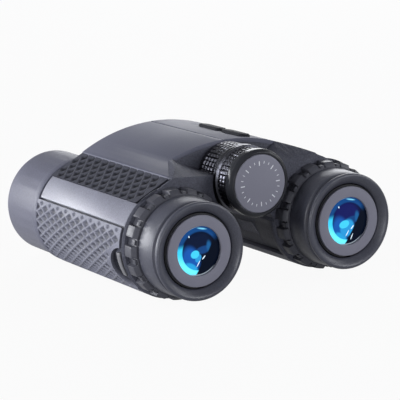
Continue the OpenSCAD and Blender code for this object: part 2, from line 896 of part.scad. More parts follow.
module knob_bezel() color(black) on_left() {
    turned_on_hinge() polygon([
        [11.2, 9.9], [11.9, 9.9], [13, 11], [13, 13.6], [12.6, 14], [knob_core_r, 14],
        [knob_core_r, 11.4], [11.2, 11.4]
    ]);
}

module knob_cap() color(plate) on_left() {
    turned_on_hinge() polygon([[0, 9.8], [10.85, 9.8], [11.15, 10.1], [11.15, 11.4], [0, 11.4]]);
}

// ----------------------------------------------------------------- buttons

// a frame whose Z axis is square to the cover at the buttons
module at_button(y) {
    translate([0, y, arch_centre[1]]) rotate([0, button_tilt, 0]) translate([0, 0, arch_r]) children();
}

module pill(w, l) {
    translate([0, w / 2]) circle(w / 2);
    translate([-w / 2, w / 2]) square([w, l - w]);
    translate([0, l - w / 2]) circle(w / 2);
}

// press button: pill-shaped head with a softened top edge, a flange that keeps it in, and a stem
module button(y) {
    l = y[1] - y[0];
    edge = 0.3;
    flange_top = -cover_t - gap;
    flange_t = 0.8;
    placed() at_button(y[0]) {
        translate([0, 0, flange_top - eps]) linear_extrude(button_proud - edge - flange_top + eps)
            pill(button_w, l);
        translate([0, edge, 0]) linear_extrude(button_proud) pill(button_w - 2 * edge, l - 2 * edge);
        translate([0, 0, flange_top - flange_t]) linear_extrude(flange_t) pill(button_w + 2 * flange_w, l);
        translate([0, l / 2, flange_top - flange_t - 0.2]) cylinder(h = 1, r = 1.2);
    }
}

module front_button() color(rubber) button(button_y[1]);
module rear_button() color(rubber) button(button_y[0]);

// bay under the right cover for the buttons and their board, written in the left half's sense
module button_bay() {
    mirror([1, 0, 0]) at_button(bay_y[0]) translate([-bay_w / 2, 0, -bay_depth])
        cube([bay_w, bay_y[1] - bay_y[0], bay_depth + 2]);
}

// board on the floor of the bay, with one switch under each button
module switch_board() color(board) placed() at_button(bay_y[0]) translate([0, 0, -bay_depth]) {
    inset = 0.1;
    key_h = 0.5;
    translate([inset - bay_w / 2, inset, 0])
        cube([bay_w - 2 * inset, bay_y[1] - bay_y[0] - 2 * inset, board_t]);
    for (y = button_y) translate([-key_w / 2, (y[0] + y[1] - key_w) / 2 - bay_y[0], board_t - eps])
        cube([key_w, key_w, key_h]);
}

// ------------------------------------------------------------------- nodes

left_housing();
right_housing();
left_rear_shell();
right_rear_shell();
left_top_cover();
right_top_cover();
left_top_grip();
right_top_grip();
left_side_grip();
right_side_grip();
left_side_rail();
right_side_rail();
left_strap_lug();
right_strap_lug();
left_objective_tube();
right_objective_tube();
left_objective_lens();
right_objective_lens();
left_objective_retainer();
right_objective_retainer();
left_focus_cell();
right_focus_cell();
left_focus_lens();
right_focus_lens();
left_prism_holder();
right_prism_holder();
left_roof_prism();
right_roof_prism();
left_half_penta_prism();
right_half_penta_prism();
left_ocular_tube();
right_ocular_tube();
left_field_lens();
right_field_lens();
right_diopter_cell();
left_eye_lens();
right_eye_lens();
left_face_plate();
right_face_plate();
left_collar();
diopter_ring();
left_click_ring();
right_click_ring();
left_eyecup_sleeve();
right_eyecup_sleeve();
left_eyecup_rubber();
right_eyecup_rubber();
hinge_sleeve();
hinge_lock_ring();
spindle_bushes();
tripod_bush();
focus_spindle();
focus_nut();
focus_knob();
knob_bezel();
knob_cap();
front_button();
rear_button();
switch_board();
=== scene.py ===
import math

import bmesh
import bpy
from mathutils import Matrix, Vector


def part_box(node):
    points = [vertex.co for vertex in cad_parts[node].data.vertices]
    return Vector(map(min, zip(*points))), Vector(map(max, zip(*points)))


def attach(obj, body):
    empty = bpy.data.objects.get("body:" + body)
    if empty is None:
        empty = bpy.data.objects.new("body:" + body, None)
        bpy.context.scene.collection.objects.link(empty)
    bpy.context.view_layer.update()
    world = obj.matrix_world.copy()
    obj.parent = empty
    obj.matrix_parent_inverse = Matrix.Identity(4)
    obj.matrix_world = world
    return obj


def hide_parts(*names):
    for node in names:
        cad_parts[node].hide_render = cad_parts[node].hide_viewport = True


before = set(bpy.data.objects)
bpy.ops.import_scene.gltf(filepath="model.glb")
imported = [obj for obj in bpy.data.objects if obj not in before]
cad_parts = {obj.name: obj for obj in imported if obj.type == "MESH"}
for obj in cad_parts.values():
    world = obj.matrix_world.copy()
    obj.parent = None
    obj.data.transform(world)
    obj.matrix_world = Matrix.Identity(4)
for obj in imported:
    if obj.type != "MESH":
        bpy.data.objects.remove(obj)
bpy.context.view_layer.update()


# ---- Camera, table and lights ----------------------------------------------------------------
# A pale table under broad soft light, as for a catalogue picture. None of it is part of the
# binoculars. The strongest boxes stand on the left and behind, where edges and crests catch them.

view_bearing, view_drop, view_roll = (math.radians(a) for a in (30.24, 12.658, -3.351))
camera_at = (-0.39519, -0.68237, 0.20259)
focal_length, film_width = 184.1, 36.0
flat_on = math.cos(view_drop)
ahead = Vector((math.sin(view_bearing) * flat_on, math.cos(view_bearing) * flat_on,
                -math.sin(view_drop)))
level = Vector((math.cos(view_bearing), -math.sin(view_bearing), 0))
upright = level.cross(ahead)
right = level * math.cos(view_roll) + upright * math.sin(view_roll)
up = upright * math.cos(view_roll) - level * math.sin(view_roll)
cam = bpy.data.objects.new("camera", bpy.data.cameras.new("camera"))
cam.data.lens, cam.data.sensor_width = focal_length, film_width
cam.data.clip_start, cam.data.clip_end = 0.05, 20
stand = Matrix((right, up, -ahead)).transposed().to_4x4()
stand.translation = camera_at
cam.matrix_world = stand
bpy.context.scene.collection.objects.link(cam)
bpy.context.scene.camera = cam
bpy.context.scene.view_settings.view_transform = "Standard"


def new_material(name):
    """A material with its node tree and its Principled shader."""
    mat = bpy.data.materials.new(name)
    mat.use_nodes = True
    return mat, mat.node_tree, mat.node_tree.nodes["Principled BSDF"]


def add(tree, kind, **values):
    """A new node of a kind, with its settings."""
    node = tree.nodes.new(kind)
    for key, value in values.items():
        setattr(node, key, value)
    return node


def calc(tree, operation, *values):
    """One step of arithmetic on sockets and plain numbers."""
    node = add(tree, "ShaderNodeMath", operation=operation)
    for socket, value in zip(node.inputs, values):
        if isinstance(value, (int, float)):
            socket.default_value = value
        else:
            tree.links.new(value, socket)
    return node.outputs["Value"]


def seen_share(tree, direct, mirrored):
    """How white a backdrop looks: to the camera, in gloss and glass, and not at all as a light."""
    path = add(tree, "ShaderNodeLightPath")
    in_gloss = calc(tree, "MAXIMUM", path.outputs["Is Glossy Ray"],
                    path.outputs["Is Transmission Ray"])
    return calc(tree, "MAXIMUM", calc(tree, "MULTIPLY", path.outputs["Is Camera Ray"], direct),
                calc(tree, "MULTIPLY", in_gloss, mirrored))


def table(width, colour, direct, mirrored):
    bpy.ops.mesh.primitive_plane_add(size=width, location=(0, 0, 0))
    top = bpy.context.object
    top.name = "table"
    mat, tree, shader = new_material("pale table")
    shader.inputs["Base Color"].default_value = (*colour, 1)
    shader.inputs["Roughness"].default_value = 0.9
    white = add(tree, "ShaderNodeEmission")
    white.inputs["Color"].default_value = (1, 1, 1, 1)
    mix = add(tree, "ShaderNodeMixShader")
    tree.links.new(seen_share(tree, direct, mirrored), mix.inputs["Fac"])
    tree.links.new(shader.outputs["BSDF"], mix.inputs[1])
    tree.links.new(white.outputs["Emission"], mix.inputs[2])
    tree.links.new(mix.outputs["Shader"], tree.nodes["Material Output"].inputs["Surface"])
    top.data.materials.append(mat)


def studio_world(direct, mirrored, least):
    """White walls. least: what they give as light."""
    world = bpy.data.worlds.new("studio")
    world.use_nodes = True
    bpy.context.scene.world = world
    tree = world.node_tree
    back = tree.nodes["Background"]
    back.inputs["Color"].default_value = (1, 1, 1, 1)
    strength = calc(tree, "MAXIMUM", seen_share(tree, direct, mirrored), least)
    tree.links.new(strength, back.inputs["Strength"])


def softbox(name, at, width, height, power):
    """A lamp of width by height metres that faces the middle of the binoculars."""
    lamp = bpy.data.lights.new(name, "AREA")
    lamp.shape = "RECTANGLE"
    lamp.size, lamp.size_y = width, height
    lamp.energy = power
    lamp.color = (0.95, 0.965, 1.0)
    obj = bpy.data.objects.new(name, lamp)
    obj.location = at
    middle = Vector((0, 0, 0.02))
    obj.rotation_euler = (middle - Vector(at)).to_track_quat("-Z", "Y").to_euler()
    bpy.context.scene.collection.objects.link(obj)


table(6, (0.34, 0.34, 0.35), direct=0.94, mirrored=0.5)
studio_world(direct=1.0, mirrored=0.3, least=0.05)
softbox("left back softbox", (-0.75, 1.0, 0.22), 0.7, 0.4, 14)
softbox("left softbox", (-1.1, 0.0, 0.2), 0.6, 0.35, 12)
softbox("right back softbox", (0.8, 0.8, 0.45), 0.9, 0.6, 8)
softbox("right softbox", (1.1, -0.2, 0.45), 0.5, 0.5, 3)
softbox("high softbox", (-0.7, 0.2, 0.75), 0.36, 0.36, 3.2)
softbox("front right softbox", (0.7, -0.9, 0.4), 0.5, 0.5, 7)
softbox("front left fill", (-0.4, -1.1, 0.15), 0.4, 0.2, 4.5)


# ---- Barrel castings and rear shells ---------------------------------------------------------
# Each barrel is a die casting under soft charcoal armour. The rear shell carries the eyepiece
# and has the scooped recess beside the focusing knob. Both have a fine moulded stipple.

tube_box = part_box("left_objective_tube")
barrel_x = -(tube_box[0].x + tube_box[1].x) / 2
barrel_z = (tube_box[0].z + tube_box[1].z) / 2
eyecup_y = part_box("left_eyecup_rubber")[0].y
MM = 0.001


def group_of(name, inputs, outputs):
    """A node group with its named sockets, and its input and output nodes."""
    tree = bpy.data.node_groups.new(name, "ShaderNodeTree")
    for label, kind, value in inputs:
        made = tree.interface.new_socket(label, in_out="INPUT", socket_type=kind)
        made.default_value = value
    for label, kind in outputs:
        tree.interface.new_socket(label, in_out="OUTPUT", socket_type=kind)
    return tree, add(tree, "NodeGroupInput"), add(tree, "NodeGroupOutput")


def moulded_stipple():
    """Fine spark-eroded grain: a height, and a colour that varies a little with wear and dust."""
    tree, given, made = group_of(
        "moulded stipple",
        [("Colour", "NodeSocketColor", (0.1, 0.1, 0.1, 1)),
         ("Grain size", "NodeSocketFloat", 4200.0), ("Variation", "NodeSocketFloat", 0.12),
         ("Smooth", "NodeSocketFloat", 0.4), ("Rough", "NodeSocketFloat", 0.55)],
        [("Colour", "NodeSocketColor"), ("Height", "NodeSocketFloat"),
         ("Roughness", "NodeSocketFloat")],
    )
    place = add(tree, "ShaderNodeTexCoord")
    grain = add(tree, "ShaderNodeTexNoise")
    grain.inputs["Detail"].default_value = 3.0
    clouds = add(tree, "ShaderNodeTexNoise")
    clouds.inputs["Scale"].default_value = 60.0
    clouds.inputs["Detail"].default_value = 4.0
    tree.links.new(place.outputs["Object"], grain.inputs["Vector"])
    tree.links.new(place.outputs["Object"], clouds.inputs["Vector"])
    tree.links.new(given.outputs["Grain size"], grain.inputs["Scale"])
    grain_gain, centre = 2.4, 1.7
    speckle = calc(tree, "MULTIPLY_ADD", grain.outputs["Fac"], grain_gain, clouds.outputs["Fac"])
    centred = calc(tree, "SUBTRACT", speckle, centre)
    spread = calc(tree, "MULTIPLY_ADD", centred, given.outputs["Variation"], 1.0)
    shade = add(tree, "ShaderNodeMixRGB", blend_type="MULTIPLY")
    shade.inputs["Fac"].default_value = 1.0
    tree.links.new(given.outputs["Colour"], shade.inputs["Color1"])
    tree.links.new(spread, shade.inputs["Color2"])
    rough = add(tree, "ShaderNodeMapRange")
    rough.inputs["From Min"].default_value = 0.3
    rough.inputs["From Max"].default_value = 0.7
    tree.links.new(given.outputs["Smooth"], rough.inputs["To Min"])
    tree.links.new(given.outputs["Rough"], rough.inputs["To Max"])
    tree.links.new(clouds.outputs["Fac"], rough.inputs["Value"])
    tree.links.new(shade.outputs["Color"], made.inputs["Colour"])
    tree.links.new(grain.outputs["Fac"], made.inputs["Height"])
    tree.links.new(rough.outputs["Result"], made.inputs["Roughness"])
    return tree


stipple_group = moulded_stipple()


def stippled(name, colour, grain=2600.0, depth=0.03, variation=0.12, gloss=(0.4, 0.55),
             specular=0.25):
    """A moulded or painted finish.

    grain is per metre, depth in millimetres, gloss a range of roughness."""
    mat, tree, shader = new_material(name)
    made = add(tree, "ShaderNodeGroup", node_tree=stipple_group)
    made.inputs["Colour"].default_value = (*colour, 1)
    made.inputs["Grain size"].default_value = grain
    made.inputs["Variation"].default_value = variation
    made.inputs["Smooth"].default_value, made.inputs["Rough"].default_value = gloss
    bump = add(tree, "ShaderNodeBump")
    bump.inputs["Distance"].default_value = depth * MM
    bump.inputs["Strength"].default_value = 1.0
    tree.links.new(made.outputs["Height"], bump.inputs["Height"])
    tree.links.new(made.outputs["Colour"], shader.inputs["Base Color"])
    tree.links.new(made.outputs["Roughness"], shader.inputs["Roughness"])
    tree.links.new(bump.outputs["Normal"], shader.inputs["Normal"])
    shader.inputs["Specular IOR Level"].default_value = specular
    return mat


def soften(obj, width, segments=2):
    """Rounds the moulded edges of a piece by width millimetres."""
    same_point, flat_angle, corner_angle = 0.002 * MM, math.radians(0.6), math.radians(32)
    weld = obj.modifiers.new("weld", "WELD")
    weld.merge_threshold = same_point
    flat = obj.modifiers.new("flat faces", "DECIMATE")
    flat.decimate_type = "DISSOLVE"
    flat.angle_limit = flat_angle
    edge = obj.modifiers.new("rounded edges", "BEVEL")
    edge.width = width * MM
    edge.segments = segments
    edge.limit_method = "ANGLE"
    edge.angle_limit = corner_angle
    edge.harden_normals = True
    for face in obj.data.polygons:
        face.use_smooth = True


def dress(mat, names, edge=0.0):
    """Gives CAD nodes a finish and, where edge is given, rounded edges."""
    for name in names:
        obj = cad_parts[name]
        obj.data.materials.clear()
        obj.data.materials.append(mat)
        if edge:
            soften(obj, edge)


def both(*names):
    """The left and the right node of each name."""
    return [side + "_" + name for name in names for side in ("left", "right")]


def finish_mesh(name, bm, mat, sharp):
    """A smooth-shaded piece from a built mesh. sharp: the angle from which an edge stays crisp."""
    mesh = bpy.data.meshes.new(name)
    bm.to_mesh(mesh)
    bm.free()
    obj = bpy.data.objects.new(name, mesh)
    bpy.context.scene.collection.objects.link(obj)
    mesh.materials.append(mat)
    for face in mesh.polygons:
        face.use_smooth = True
    mesh.set_sharp_from_angle(angle=math.radians(sharp))
    return obj


armour = stippled("charcoal armour", (0.056, 0.058, 0.076), grain=1700.0, depth=0.13,
                  variation=0.5, gloss=(0.46, 0.6), specular=0.18)
dress(armour, both("rear_shell"), 0.22)
dress(armour, both("housing"))


# ---- Slanted plate ---------------------------------------------------------------------------
# A small leaning plate moulded on the inner flank of the right barrel, with a raised outline. Its
# field is left bare. It is rubber like the armour; its colour is painted lighter than the armour's,
# as painted light where little light reaches the flank.

# radius of the finished armour, its thickness, and the plate's corners (along y, height z)
barrel_r, skin_t = 21.5, 1.7
plate_corners = ((-9.5, 17.6), (-11.5, 13.0), (-23.6, 13.2), (-20.8, 17.9))
rim_h, field_h, foot_h, under_h = 0.16, 0.05, -0.1, -0.3
# A copy of the armour's rubber, painted lighter to stand in for light on the dim flank.
plate_rubber_painted_lighter = stippled("slanted plate rubber", (0.105, 0.108, 0.137), grain=1700.0, depth=0.13,
                        variation=0.5, specular=0.18)


def slanted_plate():
    """A closed shell between four corners (along y, height z) on the barrel's inner side."""
    steps = [0, 0.02, 0.05, 0.08, 0.3, 0.5, 0.7, 0.92, 0.95, 0.98, 1]
    rise = [foot_h] + [rim_h] * 2 + [field_h] * 5 + [rim_h] * 2 + [foot_h]
    last = len(steps) - 1
    bm = bmesh.new()

    def point(i, j, height):
        a, b = steps[i], steps[j]
        p, q, r, t = plate_corners
        y, z = ((p[k] * (1 - a) + q[k] * a) * (1 - b) + (t[k] * (1 - a) + r[k] * a) * b
                for k in (0, 1))
        radius = barrel_r - skin_t + height
        tilt = (z - barrel_z / MM) / radius
        x = barrel_x / MM - radius * math.sqrt(1 - tilt * tilt)
        return bm.verts.new((x * MM, y * MM, z * MM))

    def top_height(i, j):
        on_edge = min(i, j, last - i, last - j) < 1
        return (min if on_edge else max)(rise[i], rise[j])

    span = range(last + 1)
    top = [[point(i, j, top_height(i, j)) for j in span] for i in span]
    under = [[point(i, j, under_h) for j in span] for i in span]
    for net in (top, under):
        for i in range(last):
            for j in range(last):
                bm.faces.new((net[i][j], net[i + 1][j], net[i + 1][j + 1], net[i][j + 1]))
    rim = [(i, 0) for i in range(last)] + [(last, j) for j in range(last)]
    rim += [(i, last) for i in range(last, 0, -1)] + [(0, j) for j in range(last, 0, -1)]
    for (i, j), (k, m) in zip(rim, rim[1:] + rim[:1]):
        bm.faces.new((top[i][j], top[k][m], under[k][m], under[i][j]))
    bmesh.ops.recalc_face_normals(bm, faces=bm.faces)
    return finish_mesh("right.slanted.plate", bm, plate_rubber_painted_lighter, 30)


plate = slanted_plate()
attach(plate, "right_barrel")


# ---- Top covers and side rails ---------------------------------------------------------------
# Pressed covers over the arched bridge, one on each half, and a long strip let into each barrel.
# Both are sprayed with a smooth satin slate paint and meet the armour at a thin dark seam.

cover_paint = stippled("satin cover paint", (0.088, 0.091, 0.122), grain=2400.0, depth=0.02,
                       variation=0.16, gloss=(0.5, 0.58), specular=0.16)
rail_paint = stippled("satin rail paint", (0.14, 0.143, 0.18), grain=1900.0, depth=0.05,
                      variation=0.35, gloss=(0.4, 0.48), specular=0.6)
dress(cover_paint, both("top_cover"), 0.25)
dress(rail_paint, both("side_rail"), 0.3)


# ---- Diamond grips ---------------------------------------------------------------------------
# Rubber panels bonded to each barrel, one flat on the shoulder and one round the outer side.
# Leaf-shaped pits in staggered rows leave a raised net; the border round them is smooth.

side_start, side_end, pits_end = (math.radians(a) for a in (157.2, 316, 292))
lug_bearing, lug_r = math.radians(202), 8.9
shoulder_slope, shoulder_skin = math.radians(25.1), 1.35
pit_depth = 0.8
pit_steps = ((1.0, 0.0), (0.94, 0.08), (0.72, 0.5), (0.4, 0.85))
cut_reach = 1e-4


def tile_outline(cell):
    """Twelve points round one rhombic cell of the net, as (across, along) its middle."""
    corners = [(cell[0] / 2, 0), (0, cell[1] / 2), (-cell[0] / 2, 0), (0, -cell[1] / 2)]
    points = []
    for (ax, ay), (bx, by) in zip(corners, corners[1:] + corners[:1]):
        points += [(ax + (bx - ax) * k / 3, ay + (by - ay) * k / 3) for k in range(3)]
    return points


def pit_outline(cell, tips):
    """The leaf inside a cell. tips: the share it fills at its across tip, sides and along tip."""
    share = [tips[0], tips[1], tips[1], tips[2], tips[1], tips[1]] * 2
    return [(x * k, y * k) for (x, y), k in zip(tile_outline(cell), share)]


def sunk_pit(bm, x, y, frame_points, leaf, full):
    """One cell: the frame round it, then rings down the pit's wall to a point in the middle."""
    rings = [[bm.verts.new((x + u, y + v, 0)) for u, v in frame_points]]
    for grow, drop in pit_steps:
        rings.append([bm.verts.new((x + u * grow * full, y + v * grow * full,
                                    -drop * full * pit_depth)) for u, v in leaf])
    around = len(leaf)
    for a, b in zip(rings, rings[1:]):
        for i in range(around):
            bm.faces.new((a[i], a[(i + 1) % around], b[(i + 1) % around], b[i]))
    deepest = bm.verts.new((x, y, -pit_depth * full))
    for i in range(around):
        bm.faces.new((rings[-1][i], rings[-1][(i + 1) % around], deepest))


def grip_net(bm, size, cell, tips, start, room):
    """A flat net over size = (across, along) millimetres, with its pits sunk below z = 0.

    start is the middle of one cell. room(x, y) is the size of the pit there, from 0 to 1."""
    middles = [
        (start[0] + i * cell[0] / 2, start[1] + (j + (i % 2) / 2) * cell[1])
        for i in range(-3, int(2 * size[0] / cell[0]) + 4)
        for j in range(-2, int(size[1] / cell[1]) + 2)
    ]
    frame_points, leaf = tile_outline(cell), pit_outline(cell, tips)
    for x, y in middles:
        full = room(x, y)
        if full:
            sunk_pit(bm, x, y, frame_points, leaf, full)
        else:
            bm.faces.new([bm.verts.new((x + u, y + v, 0)) for u, v in frame_points])
    bmesh.ops.remove_doubles(bm, verts=bm.verts, dist=0.01)
    for at, facing in (((0, 0, 0), (-1, 0, 0)), ((size[0], 0, 0), (1, 0, 0)),
                       ((0, 0, 0), (0, -1, 0)), ((0, size[1], 0), (0, 1, 0))):
        bmesh.ops.bisect_plane(bm, geom=bm.verts[:] + bm.edges[:] + bm.faces[:], dist=cut_reach,
                               plane_co=at, plane_no=facing, clear_outer=True)


def cut_faces(bm, faces, at, facing):
    """Cuts some faces with a plane and returns all the faces they become."""
    geom = {part for f in faces for part in (f, *f.edges, *f.verts)}
    cut = bmesh.ops.bisect_plane(bm, geom=list(geom), dist=cut_reach, plane_co=at, plane_no=facing)
    return [g for g in cut["geom"] if isinstance(g, bmesh.types.BMFace)]


def open_pocket(bm, middle, r, steps=24):
    """Cuts a half-round pocket out of the flat net at its rear edge."""
    turns = [math.pi * k / steps for k in range(steps + 1)]
    rim = [(middle + barrel_r * math.asin(r * math.cos(a) / barrel_r), r * math.sin(a))
           for a in turns]
    inside = [f for f in bm.faces if f.calc_center_median().y < 2 * r]
    for (ax, ay), (bx, by) in zip(rim, rim[1:]):
        at, facing = Vector((ax, ay, 0)), Vector((by - ay, ax - bx, 0))
        inside = [f for f in cut_faces(bm, inside, at, facing)
                  if (f.calc_center_median() - at).dot(facing) < 0]
    bmesh.ops.delete(bm, geom=inside, context="FACES")


def close_panel(bm, size, base, strip=3.0):
    """Walls down to depth base round the edge, and an underside in strips so that it can bend."""
    rim = [e for e in bm.edges if e.is_boundary]
    made = bmesh.ops.extrude_edge_only(bm, edges=rim)["geom"]
    lowered = {g for g in made if isinstance(g, bmesh.types.BMVert)}
    for v in lowered:
        v.co.z = -base
    low = [g for g in made if isinstance(g, bmesh.types.BMEdge) and lowered.issuperset(g.verts)]
    filled = bmesh.ops.triangle_fill(bm, use_beauty=True, edges=low)["geom"]
    under = [g for g in filled if isinstance(g, bmesh.types.BMFace)]
    for k in range(1, int(size[0] / strip)):
        under = cut_faces(bm, under, (k * strip, 0, 0), (1, 0, 0))


def grip_panel(name, body, node, bm, place, mat):
    """Bends a closed flat panel onto the barrel and makes it stand for its CAD node."""
    # How far down its pit each point sits; the rubber paints shade into the pits by it.
    pit = bm.verts.layers.float.new("pit")
    for v in bm.verts:
        v[pit] = min(1.0, -v.co.z / pit_depth)
        v.co = place(*v.co)
    bmesh.ops.recalc_face_normals(bm, faces=bm.faces)
    obj = finish_mesh(name, bm, mat, 60)
    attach(obj, body)
    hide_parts(node)


def grip_rubber_shaded_pits(name, ridge, pit, specular):
    """Rubber whose pits are painted darker than its ridges: painted shade that grows with the pit's
    depth.
    """
    mat = stippled(name, ridge, grain=2200.0, depth=0.06, variation=0.4, gloss=(0.46, 0.6),
                   specular=specular)
    tree = mat.node_tree
    shader = tree.nodes["Principled BSDF"]
    made = next(n for n in tree.nodes if n.bl_idname == "ShaderNodeGroup")
    # The pit depth share, by which shade is painted into the pits.
    pit_shade_share = add(tree, "ShaderNodeAttribute", attribute_name="pit")
    shade = add(tree, "ShaderNodeMixRGB", blend_type="MULTIPLY")
    shade.inputs["Color2"].default_value = (*(p / r for p, r in zip(pit, ridge)), 1)
    tree.links.new(pit_shade_share.outputs["Fac"], shade.inputs["Fac"])
    tree.links.new(made.outputs["Colour"], shade.inputs["Color1"])
    tree.links.new(shade.outputs["Color"], shader.inputs["Base Color"])
    return mat


# Ridge colour, then the colour of the pit floors, which is painted shade.
side_rubber = grip_rubber_shaded_pits("side grip rubber", (0.115, 0.118, 0.151), (0.04, 0.041, 0.053), 0.25)
top_rubber = grip_rubber_shaded_pits("top grip rubber", (0.045, 0.0465, 0.061), (0.009, 0.0095, 0.0125), 0.14)
# (across, along) in millimetres of a cell and of the middle of one cell, along from the eye end
side_cell, side_tips, side_first = (3.65, 6.8), (0.95, 0.86, 0.84), (3.08, 22.5)
top_cell, top_tips, top_first = (5.9, 5.65), (0.9, 0.86, 0.9), (1.95, 23.34)


def side_grip(side, sign):
    """The panel round the outer side, with a pocket for the lug and smaller pits at its edges."""
    low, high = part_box(side + "_side_grip")
    start_y, end_y = (low.y - eyecup_y) / MM, (high.y - eyecup_y) / MM
    size = ((side_end - side_start) * barrel_r, end_y - start_y)
    lug_s, last_s = (lug_bearing - side_start) * barrel_r, (pits_end - side_start) * barrel_r
    no_pit, small_pit, small = 1.4, 2.6, 0.55

    def on_barrel(s, y, z):
        a = side_start + s / barrel_r
        r = (barrel_r + z) * MM
        return (sign * (-barrel_x + r * math.cos(a)), low.y + y * MM, barrel_z + r * math.sin(a))

    def room(s, y):
        from_pocket = math.hypot(s - lug_s, y) - lug_r
        if not 0.6 < s < last_s or y < 1 or from_pocket < no_pit:
            return 0
        return small if s < 2.4 or y < 2.5 or from_pocket < small_pit else 1

    bm = bmesh.new()
    grip_net(bm, size, side_cell, side_tips, (side_first[0], side_first[1] - start_y), room)
    open_pocket(bm, lug_s, lug_r)
    close_panel(bm, size, skin_t)
    grip_panel(side + ".side.grip", side + "_barrel", side + "_side_grip", bm, on_barrel,
               side_rubber)


def top_grip(side, sign):
    """The flat panel on the shoulder, with a smooth border."""
    low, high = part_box(side + "_top_grip")
    start_y = (low.y - eyecup_y) / MM
    size = ((high.x - low.x) / math.cos(shoulder_slope) / MM, (high.y - low.y) / MM)
    inner = Vector((min(abs(low.x), abs(high.x)), high.z))
    border, front_border = 1.2, 0.8

    def on_shoulder(s, y, z):
        x = inner.x + (s * math.cos(shoulder_slope) + z * math.sin(shoulder_slope)) * MM
        lift = (z * math.cos(shoulder_slope) - s * math.sin(shoulder_slope)) * MM
        return (-sign * x, low.y + y * MM, inner.y + lift)

    def room(s, y):
        return float(border < s < size[0] - border and border < y < size[1] - front_border)

    bm = bmesh.new()
    grip_net(bm, size, top_cell, top_tips, (top_first[0], top_first[1] - start_y), room)
    close_panel(bm, size, shoulder_skin)
    grip_panel(side + ".top.grip", side + "_barrel", side + "_top_grip", bm, on_shoulder,
               top_rubber)


for side, sign in (("left", 1), ("right", -1)):
    side_grip(side, sign)
    top_grip(side, sign)


# ---- Strap lugs ------------------------------------------------------------------------------
# A bar moulded across a D-shaped pocket at the rear outer corner of each barrel, for a strap
# loop. It is rubber like the shell, rubbed smoother and paler by the strap.

lug_rubber = stippled("lug rubber", (0.12, 0.12, 0.13), depth=0.02, variation=0.15,
                      gloss=(0.3, 0.45))
dress(lug_rubber, both("strap_lug"), 0.25)


# ---- Objective tubes and front lenses --------------------------------------------------------
# Smooth rubber-sleeved front tubes with a small step, each holding a cemented doublet behind a
# screwed black retaining ring. The glass has a green anti-reflection coat, shown as a painted
# sheen.

tube_rubber = stippled("smooth tube rubber", (0.092, 0.094, 0.124), grain=1900.0, depth=0.06,
                       variation=0.35, gloss=(0.38, 0.5), specular=0.16)
black_metal = stippled("black anodised metal", (0.018, 0.018, 0.021), grain=9000.0, depth=0.004,
                       variation=0.2, gloss=(0.3, 0.42))
dress(tube_rubber, both("objective_tube"), 0.3)
dress(black_metal, both("objective_retainer"), 0.1)


def coated_glass(name, colour, painted_sheen):
    """Dark coated glass with a painted sheen: the coat's reflected colour is painted in where the
    surface turns away from the view.
    """
    mat, tree, shader = new_material(name)
    clouds = add(tree, "ShaderNodeTexNoise")
    clouds.inputs["Scale"].default_value = 45.0
    place = add(tree, "ShaderNodeTexCoord")
    tree.links.new(place.outputs["Object"], clouds.inputs["Vector"])
    # How far the surface turns from the view, which sets the painted sheen.
    turned = add(tree, "ShaderNodeLayerWeight")
    turned.inputs["Blend"].default_value = 0.35
    blend = add(tree, "ShaderNodeMixRGB")
    blend.inputs["Color1"].default_value = (*colour, 1)
    blend.inputs["Color2"].default_value = (*painted_sheen, 1)
    tree.links.new(turned.outputs["Facing"], blend.inputs["Fac"])
    uneven = add(tree, "ShaderNodeMixRGB", blend_type="OVERLAY")
    uneven.inputs["Fac"].default_value = 0.25
    tree.links.new(blend.outputs["Color"], uneven.inputs["Color1"])
    tree.links.new(clouds.outputs["Color"], uneven.inputs["Color2"])
    tree.links.new(uneven.outputs["Color"], shader.inputs["Base Color"])
    rough = add(tree, "ShaderNodeMapRange")
    rough.inputs["To Min"].default_value = 0.02
    rough.inputs["To Max"].default_value = 0.05
    tree.links.new(clouds.outputs["Fac"], rough.inputs["Value"])
    tree.links.new(rough.outputs["Result"], shader.inputs["Roughness"])
    shader.inputs["Specular IOR Level"].default_value = 0.6
    shader.inputs["Coat Weight"].default_value = 0.6
    return mat


front_glass = coated_glass("front lens glass", (0.006, 0.02, 0.03), (0.03, 0.12, 0.1))
dress(front_glass, both("objective_lens"))


# ---- Optics and drive inside -----------------------------------------------------------------
# Focusing cells, prism holders and prisms sit inside the bores; the steel spindle, brass nut and
# bushes sit in the hinge. Only the black tripod bush shows, at the front end of the hinge.

def bare_metal(name, colour, **finish):
    """A stippled finish on bare metal."""
    mat = stippled(name, colour, **finish)
    mat.node_tree.nodes["Principled BSDF"].inputs["Metallic"].default_value = 1.0
    return mat


clear_glass = coated_glass("prism glass", (0.05, 0.07, 0.08), (0.2, 0.24, 0.26))
steel = bare_metal("turned steel", (0.5, 0.5, 0.52), grain=7000.0, depth=0.003, variation=0.1,
                   gloss=(0.22, 0.34))
brass = bare_metal("turned brass", (0.6, 0.42, 0.16), grain=7000.0, depth=0.003, variation=0.15,
                   gloss=(0.25, 0.38))
board_green = stippled("circuit board", (0.02, 0.12, 0.05), grain=3000.0, depth=0.01,
                       variation=0.4)
dress(black_metal, both("focus_cell", "prism_holder", "click_ring"))
dress(black_metal, ["right_diopter_cell", "tripod_bush"])
dress(clear_glass, both("focus_lens", "roof_prism", "half_penta_prism", "field_lens"))
dress(steel, ["hinge_sleeve", "hinge_lock_ring", "focus_spindle"])
dress(brass, ["spindle_bushes", "focus_nut"])
dress(board_green, ["switch_board"])


# ---- Eye lenses and face plates --------------------------------------------------------------
# The eye lens is deep blue coated glass with painted reflections of the light from inside: a cyan
# crescent along its low outer edge, a bright patch in the middle, painted glints and rim
# highlights, and painted shade. A matt grey ring frames it.

